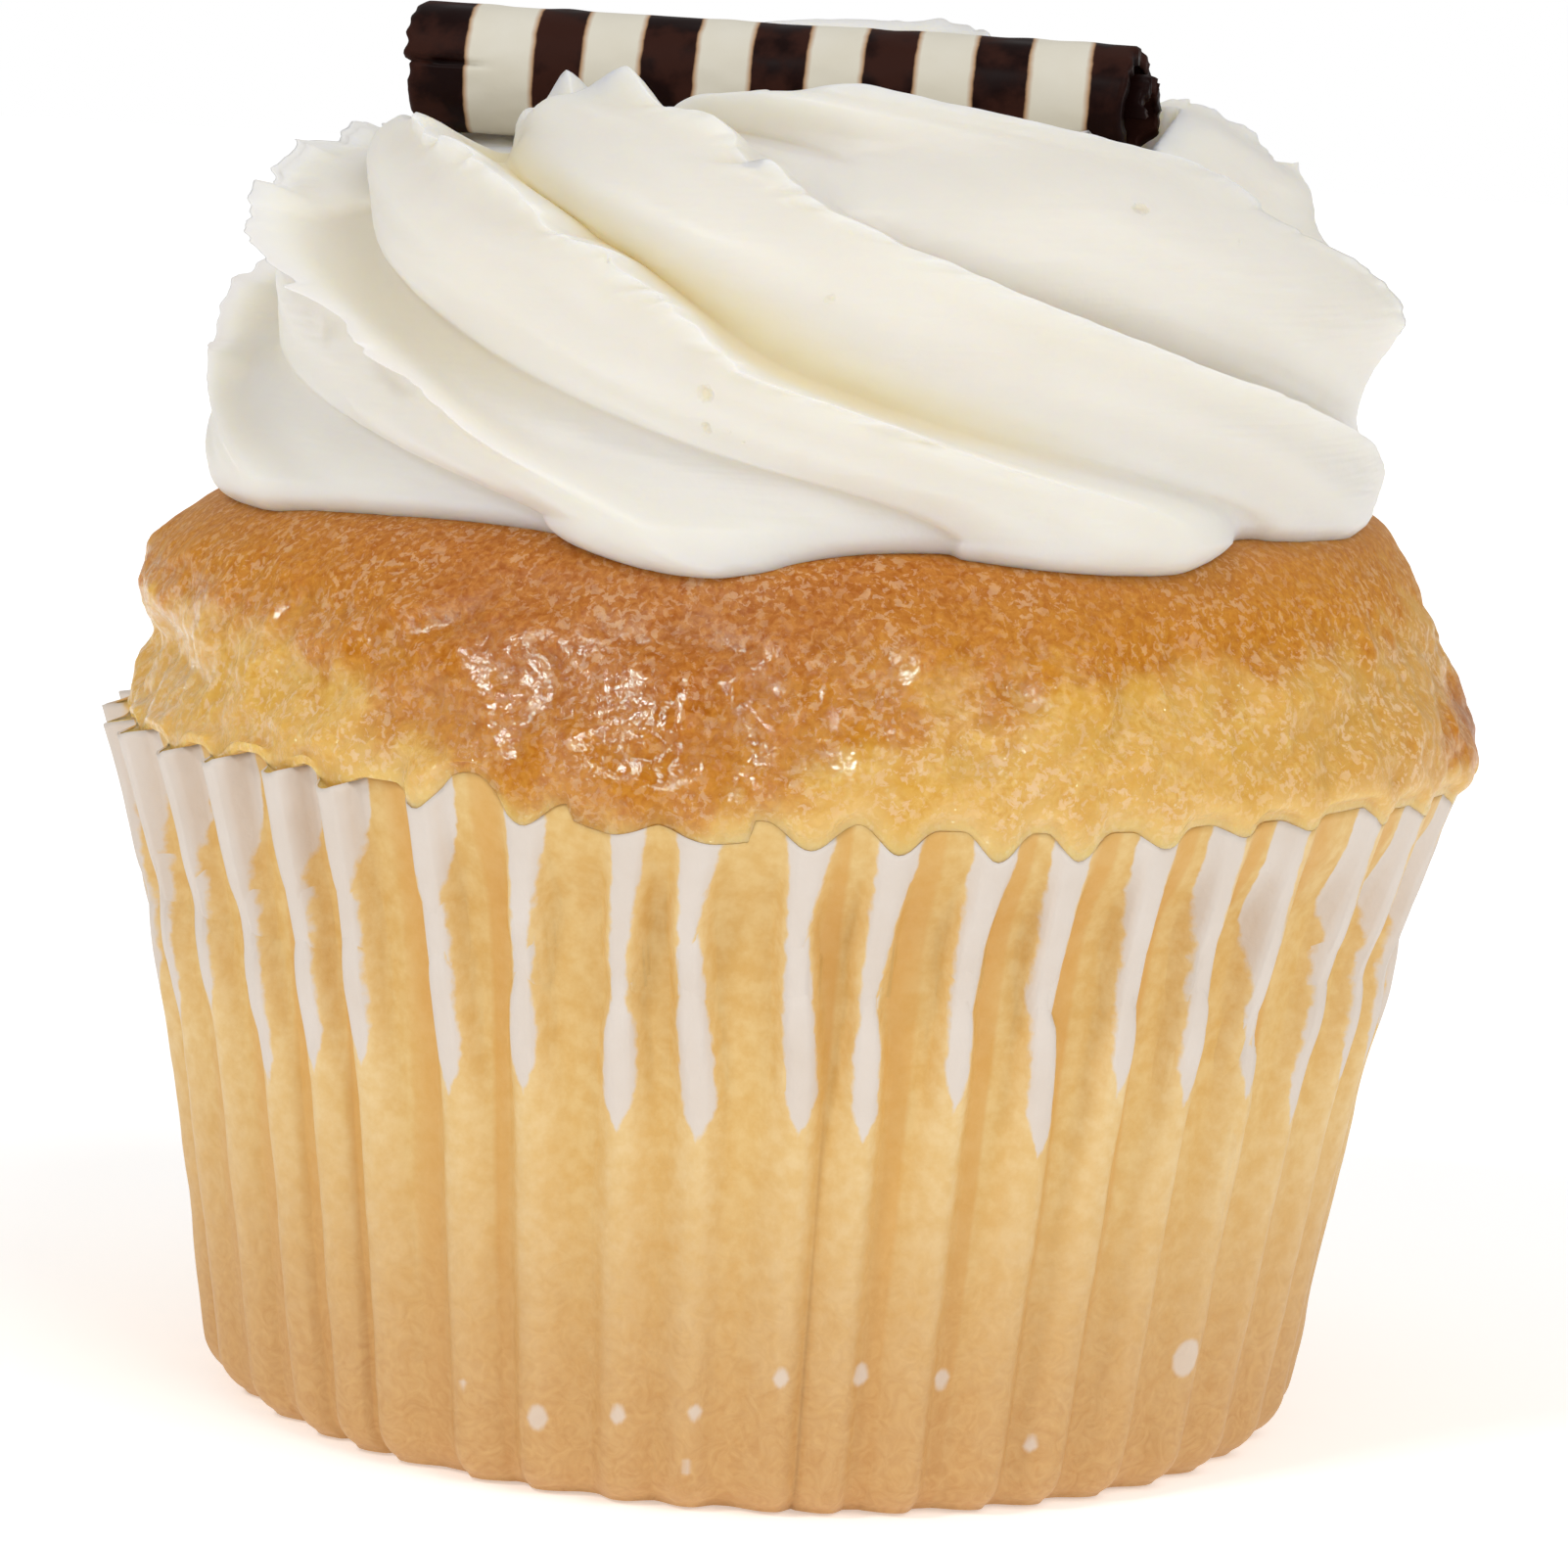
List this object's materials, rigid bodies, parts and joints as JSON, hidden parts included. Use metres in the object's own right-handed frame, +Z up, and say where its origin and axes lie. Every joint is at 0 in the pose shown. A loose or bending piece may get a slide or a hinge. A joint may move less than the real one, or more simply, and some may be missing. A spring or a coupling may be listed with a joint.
{
  "type": "frosted cupcake",
  "caption": "Yellow sponge cupcake in a fluted paper case, topped with a piped swirl of vanilla buttercream and a striped chocolate roll.",
  "frame": {"origin": "centre of the flat underside of the paper case", "axes": "+Z up; -Y towards the front, where the blades of frosting start at the upper left; +X to the right seen from the front"},
  "size_m": [0.0706, 0.0701, 0.0712],
  "materials": {
    "greaseproof_paper": "thin greaseproof paper, see-through where it is stuck to the cake",
    "sponge_crust": "golden brown baked crust over yellow crumb, glossy and craggy near the case",
    "buttercream": "piped ivory buttercream, soft satin",
    "chocolate": "dark and white chocolate in stripes, satin"
  },
  "bodies": {
    "root": {"paper_case": "greaseproof_paper", "cake": "sponge_crust", "frosting": "buttercream", "chocolate_roll": "chocolate"}
  },
  "joints": []
}
